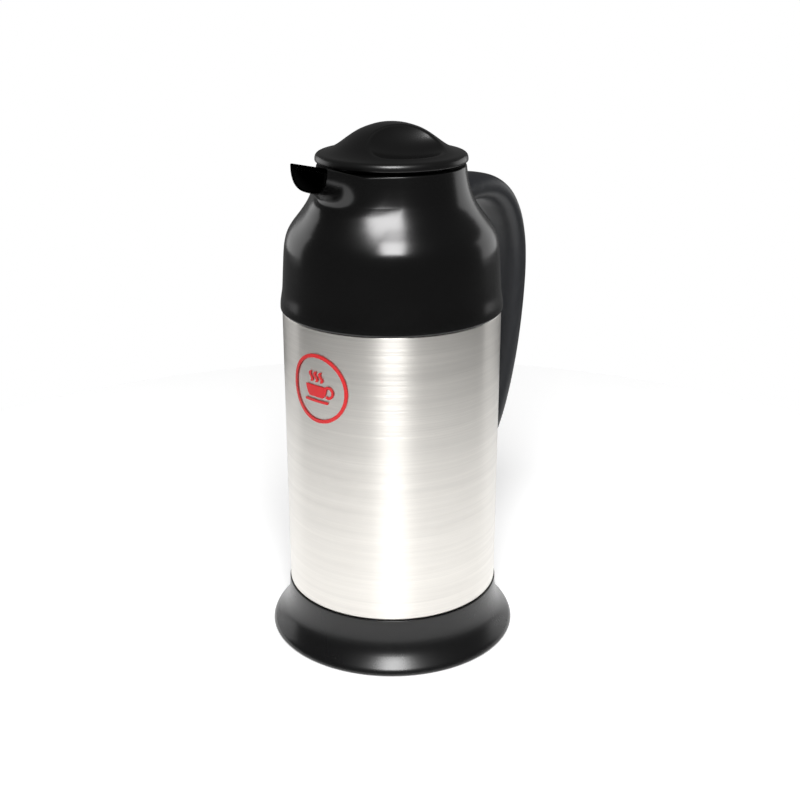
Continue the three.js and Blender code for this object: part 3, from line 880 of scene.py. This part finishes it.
# ---------------------------------------------------------------- camera, floor and lights
CAMERA_AZIMUTH = 40  # degrees anticlockwise from -Y, seen from above
CAMERA_DIP = 20.28  # degrees below level
CAMERA_DISTANCE = 0.6196  # metres from the axis, and above the table
CAMERA_HEIGHT = 0.3567
CAMERA_ASIDE = 0.0042  # metres to the right


def seen_from(azimuth, distance, height):
    """A place round the server. Azimuth is in degrees to the right of the camera."""
    angle = math.radians(CAMERA_AZIMUTH + azimuth)
    return Vector((distance * math.sin(angle), -distance * math.cos(angle), height))


def make_camera():
    data = bpy.data.cameras.new("camera")
    data.lens = 56.23
    data.sensor_width = 36
    data.clip_start = 0.01
    camera = bpy.data.objects.new("camera", data)
    camera.location = seen_from(0, CAMERA_DISTANCE, CAMERA_HEIGHT) + CAMERA_ASIDE * seen_from(90, 1, 0)
    camera.rotation_euler = (math.radians(90 - CAMERA_DIP), 0, math.radians(CAMERA_AZIMUTH))
    bpy.context.scene.collection.objects.link(camera)
    bpy.context.scene.camera = camera


def add_softbox(name, azimuth, distance, height, size, radiance, aim_height=0.15):
    light = bpy.data.lights.new(name, "AREA")
    light.shape = "RECTANGLE"
    light.size, light.size_y = size
    light.energy = radiance * math.pi * size[0] * size[1]
    box = bpy.data.objects.new(name, light)
    box.location = seen_from(azimuth, distance, height)
    toward = Vector((0, 0, aim_height)) - box.location
    box.rotation_euler = toward.to_track_quat("-Z", "Y").to_euler()
    bpy.context.scene.collection.objects.link(box)


def make_floor():
    """A round white table, with a faint glow that keeps it white in the server's shade."""
    points, faces = turned_mesh([(0, 0), (450, 0), (450, -20), (0, -20)], 96)
    look = Look("table_white", Specular_IOR_Level=0.1, Emission_Color=(1, 1, 1, 1), Emission_Strength=0.34)
    white = look.tint((0.92, 0.92, 0.92), look.noise(look.place(), 30), 0.99, 1.01)
    mesh = bpy.data.meshes.new("table")
    mesh.from_pydata([tuple(MM * c for c in point) for point in points], [], faces)
    mesh.materials.append(look.finish(Base_Color=white, Roughness=0.9))
    table = bpy.data.objects.new("table", mesh)
    bpy.context.scene.collection.objects.link(table)


def make_world():
    """White all round to the eye, and a dim even room to the lights' reflections."""
    world = bpy.data.worlds.new("studio")
    world.use_nodes = True
    tree = world.node_tree
    room = tree.nodes["Background"]
    room.inputs["Color"].default_value = (1, 1, 1, 1)
    room.inputs["Strength"].default_value = 0.12
    backdrop = tree.nodes.new("ShaderNodeBackground")
    backdrop.inputs["Color"].default_value = (1, 1, 1, 1)
    backdrop.inputs["Strength"].default_value = 1.0
    seen = tree.nodes.new("ShaderNodeLightPath")
    mix = tree.nodes.new("ShaderNodeMixShader")
    tree.links.new(seen.outputs["Is Camera Ray"], mix.inputs["Fac"])
    tree.links.new(room.outputs["Background"], mix.inputs[1])
    tree.links.new(backdrop.outputs["Background"], mix.inputs[2])
    tree.links.new(mix.outputs["Shader"], tree.nodes["World Output"].inputs["Surface"])
    bpy.context.scene.world = world
    bpy.context.scene.view_settings.view_transform = "Standard"


def make_lights():
    add_softbox("key_softbox", 1.5, 0.887, 1.17, (0.5, 0.74), 20)
    for side, name in ((-1, "left"), (1, "right")):
        add_softbox(f"back_softbox_{name}", side * 128, 1.2, 0.34, (0.9, 0.6), 1.1)


make_camera()
make_base()
make_underside()
make_bottle()
make_shoulder()
make_collar()
make_lid()
make_stopper()
make_handle()
make_mark()
make_floor()
make_world()
make_lights()
